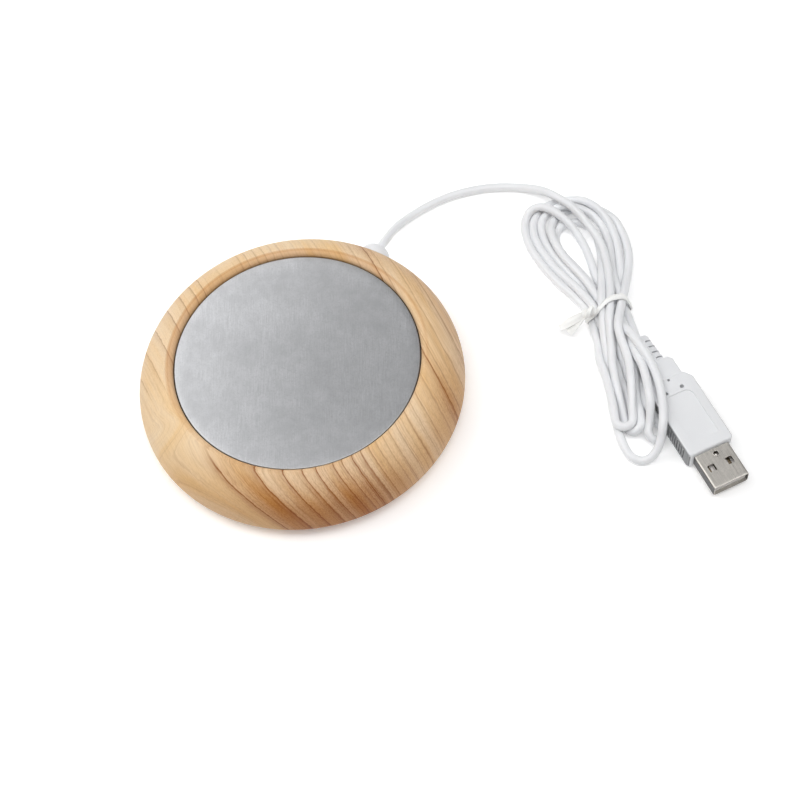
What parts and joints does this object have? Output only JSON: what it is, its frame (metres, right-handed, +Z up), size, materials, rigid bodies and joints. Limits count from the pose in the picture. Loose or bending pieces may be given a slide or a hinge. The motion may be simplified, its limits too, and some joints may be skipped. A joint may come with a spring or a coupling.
{
  "type": "mug warmer",
  "caption": "Round electric mug warmer: rounded wooden ring, recessed brushed metal heating plate, flexible USB lead folded into a tied hank, ending in a flat plug.",
  "frame": {"origin": "centre of the warmer's round base, on the desk it stands on (the feet's underside)", "axes": "+Z up, out of the heating plate; +Y horizontal, out of the strain relief along the lead where it leaves the ring; +X to the right"},
  "size_m": [0.1936, 0.1575, 0.0206],
  "materials": {
    "pine_satin": "satin",
    "plate_brushed": "brushed",
    "seal_black": "matte",
    "film_amber": "satin",
    "track_alloy": "satin",
    "pad_fibre": "matte",
    "retainer_alu": "satin",
    "screw_steel": "satin",
    "fuse_steel": "satin",
    "wire_red": "satin",
    "wire_black": "satin",
    "chassis_white": "matte",
    "base_white": "matte",
    "foot_rubber": "matte",
    "cord_pvc": "satin",
    "plug_pvc": "satin",
    "tie_white": "satin",
    "plug_steel": "satin",
    "tongue_white": "satin",
    "contact_gold": "gloss"
  },
  "bodies": {
    "root": {"wood_ring": "pine_satin", "heat_plate": "plate_brushed", "gap_seal": "seal_black", "film_upper": "film_amber", "heater_track": "track_alloy", "film_lower": "film_amber", "insulation_pad": "pad_fibre", "retainer": "retainer_alu", "retainer_screws": "screw_steel", "chassis": "chassis_white", "thermal_fuse": "fuse_steel", "fuse_clip": "retainer_alu", "wire_red": "wire_red", "wire_black": "wire_black", "wire_link": "wire_red", "crimp_sleeves": "screw_steel", "cord_stub": "cord_pvc", "cord_clamp": "chassis_white", "clamp_screws": "screw_steel", "grommet": "cord_pvc", "base_cover": "base_white", "cover_screws": "screw_steel", "feet": "foot_rubber", "cord_lead": "cord_pvc", "cord_hank": "cord_pvc", "twist_tie": "tie_white", "cord_tail": "cord_pvc", "plug_boot": "cord_pvc", "plug_body": "plug_pvc", "plug_shell": "plug_steel", "plug_tongue": "tongue_white", "plug_contacts": "contact_gold"}
  },
  "joints": []
}
